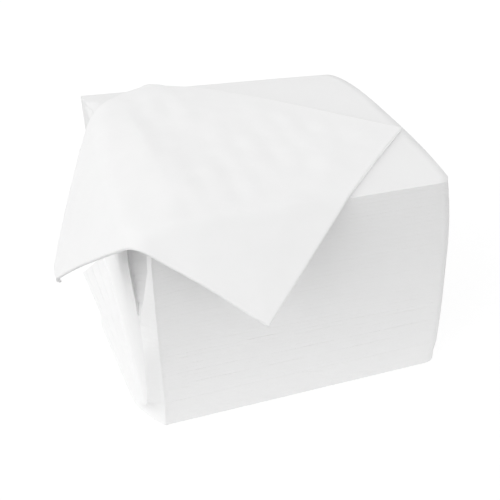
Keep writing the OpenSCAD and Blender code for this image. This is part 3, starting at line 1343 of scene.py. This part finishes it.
@dataclass
class Studio:
    """A white sweep, an even sky, a soft key lamp from the left and the camera.

    Attributes:
        sky_low: Strength of the sky at the horizon.
        sky_high: Strength of the sky overhead.
        key: Strength of the key lamp.
        key_from: Direction that it shines from.
        key_spread: How wide it looks, in degrees.
        floor_reach: Half the floor's side in metres.
        floor_glow: How much the floor glows to the camera.
        floor_tone: Tone of the floor under that glow, on which the object's shadow shows.
        near_painted_light: Painted light: colour of the floor, seen only by light bouncing off it, that
            lights the object close by.
        far_painted_light: The same painted light further off, much darker.
        near_reach: Distance in metres where the near painted light ends.
        far_reach: Distance in metres where the far painted light begins.
        view: Where the camera stands.
    """

    sky_low: float = 1.29
    sky_high: float = 0.475
    key: float = 0.84
    key_from: Triple = (-0.88, -0.30, 0.29)
    key_spread: float = 60.0
    floor_reach: float = 6.0
    floor_glow: float = 0.68
    floor_tone: float = 0.38
    # Painted light: the floor's colour to bounced light is a pool, bright close to the stack and dark further
    # off.
    near_painted_light: float = 0.80
    far_painted_light: float = 0.16
    near_reach: float = 0.13
    far_reach: float = 0.5
    view: Viewpoint = Viewpoint()

    def seen(self, tree: bpy.types.NodeTree) -> bpy.types.NodeSocket:
        """Tell whether a ray comes from the camera, straight or by way of a mirror or glass.

        Args:
            tree: Nodes of the floor or of the sky.

        Returns:
            A value of 1 for such a ray and 0 for any other.
        """
        path = tree.nodes.new("ShaderNodeLightPath")
        value = path.outputs["Is Camera Ray"]
        for kind in ("Is Glossy Ray", "Is Transmission Ray"):
            either = tree.nodes.new("ShaderNodeMath")
            either.operation = "MAXIMUM"
            tree.links.new(value, either.inputs[0])
            tree.links.new(path.outputs[kind], either.inputs[1])
            value = either.outputs[0]
        return value

    def sweep(self) -> bpy.types.Material:
        """Build the floor's material, white to the camera but for a faint shadow, and to bounced light a
        painted pool of light around the stack.

        Returns:
            The material.
        """
        made = bpy.data.materials.new("sweep_painted_pool")
        made.use_nodes = True
        nodes, links = made.node_tree.nodes, made.node_tree.links
        nodes.clear()
        out = nodes.new("ShaderNodeOutputMaterial")
        place = nodes.new("ShaderNodeTexCoord")
        away = nodes.new("ShaderNodeVectorMath")
        away.operation = "LENGTH"
        # Painted light: the floor's colour to bounced light fades from bright near the stack to dark further
        # off, a painted pool of light.
        tone = nodes.new("ShaderNodeMapRange")
        tone.inputs["From Min"].default_value = self.near_reach
        tone.inputs["From Max"].default_value = self.far_reach
        tone.inputs["To Min"].default_value = self.near_painted_light
        tone.inputs["To Max"].default_value = self.far_painted_light
        matt = nodes.new("ShaderNodeBsdfDiffuse")
        links.new(place.outputs["Object"], away.inputs[0])
        links.new(away.outputs["Value"], tone.inputs["Value"])
        links.new(tone.outputs["Result"], matt.inputs["Color"])
        shown = nodes.new("ShaderNodeBsdfDiffuse")
        shown.inputs["Color"].default_value = (self.floor_tone,) * 3 + (1.0,)
        glow = nodes.new("ShaderNodeEmission")
        glow.inputs["Strength"].default_value = self.floor_glow
        both = nodes.new("ShaderNodeAddShader")
        choice = nodes.new("ShaderNodeMixShader")
        links.new(shown.outputs[0], both.inputs[0])
        links.new(glow.outputs[0], both.inputs[1])
        links.new(self.seen(made.node_tree), choice.inputs["Fac"])
        links.new(matt.outputs[0], choice.inputs[1])
        links.new(both.outputs[0], choice.inputs[2])
        links.new(choice.outputs[0], out.inputs["Surface"])
        return made

    def floor(self) -> None:
        """Lay the floor under the stack."""
        mesh = bpy.data.meshes.new("floor")
        far = self.floor_reach
        corners = [(-far, -far, 0.0), (far, -far, 0.0), (far, far, 0.0), (-far, far, 0.0)]
        mesh.from_pydata(corners, [], [(0, 1, 2, 3)])
        mesh.materials.append(self.sweep())
        floor = bpy.data.objects.new("floor", mesh)
        bpy.context.scene.collection.objects.link(floor)

    def world(self) -> None:
        """Give a sky that is white to the camera and lights the object less from above than from the side."""
        world = bpy.data.worlds.new("even_sky")
        bpy.context.scene.world = world
        world.use_nodes = True
        nodes, links = world.node_tree.nodes, world.node_tree.links
        sky = nodes["Background"]
        sky.inputs["Color"].default_value = (1.0, 1.0, 1.0, 1.0)
        place = nodes.new("ShaderNodeTexCoord")
        split = nodes.new("ShaderNodeSeparateXYZ")
        height = nodes.new("ShaderNodeMath")
        height.operation = "MULTIPLY"
        fade = nodes.new("ShaderNodeMapRange")
        fade.inputs["To Min"].default_value = self.sky_low
        fade.inputs["To Max"].default_value = self.sky_high
        strength = nodes.new("ShaderNodeMapRange")
        strength.inputs["To Max"].default_value = 1.0
        links.new(place.outputs["Generated"], split.inputs[0])
        links.new(split.outputs["Z"], height.inputs[0])
        links.new(split.outputs["Z"], height.inputs[1])
        links.new(height.outputs[0], fade.inputs["Value"])
        links.new(fade.outputs["Result"], strength.inputs["To Min"])
        links.new(self.seen(world.node_tree), strength.inputs["Value"])
        links.new(strength.outputs["Result"], sky.inputs["Strength"])

    def lamps(self) -> None:
        """Hang the soft key lamp."""
        lamp = bpy.data.lights.new("key", "SUN")
        lamp.energy = self.key
        lamp.angle = math.radians(self.key_spread)
        made = bpy.data.objects.new("key", lamp)
        made.rotation_euler = Vector(self.key_from).to_track_quat("Z", "Y").to_euler()
        bpy.context.scene.collection.objects.link(made)

    def build(self) -> None:
        """Set up everything around the object."""
        self.floor()
        self.world()
        self.lamps()
        bpy.context.scene.camera = self.view.build()
        bpy.context.scene.view_settings.view_transform = "Standard"


def main() -> None:
    """Build the stack, the draped napkin and the studio, and report each piece."""
    logging.basicConfig(level=logging.INFO, format="%(message)s")
    form = StackForm()
    stacked = TissueFinish("stacked_tissue").material()
    # Painted light: the draped sheet's tissue gets a lighter white than the stack's, so that it reads
    # brighter; part of the raise makes up for its darker mottles.
    laid = TissueFinish("draped_tissue_painted_lighter", white=(0.905, 0.905, 0.905), mottle=0.035).material()
    draped = DrapedNapkin(form, laid)
    stack = NapkinStack(form, draped, stacked)
    stack.build()
    for piece in list(stack.pieces.values()) + [draped.build()]:
        LOG.info("%s: %d points", piece.name, len(piece.data.vertices))
    Studio().build()
    LOG.info("studio: floor, sky, key lamp and camera")
    bpy.context.view_layer.update()


if __name__ == "__main__":
    main()
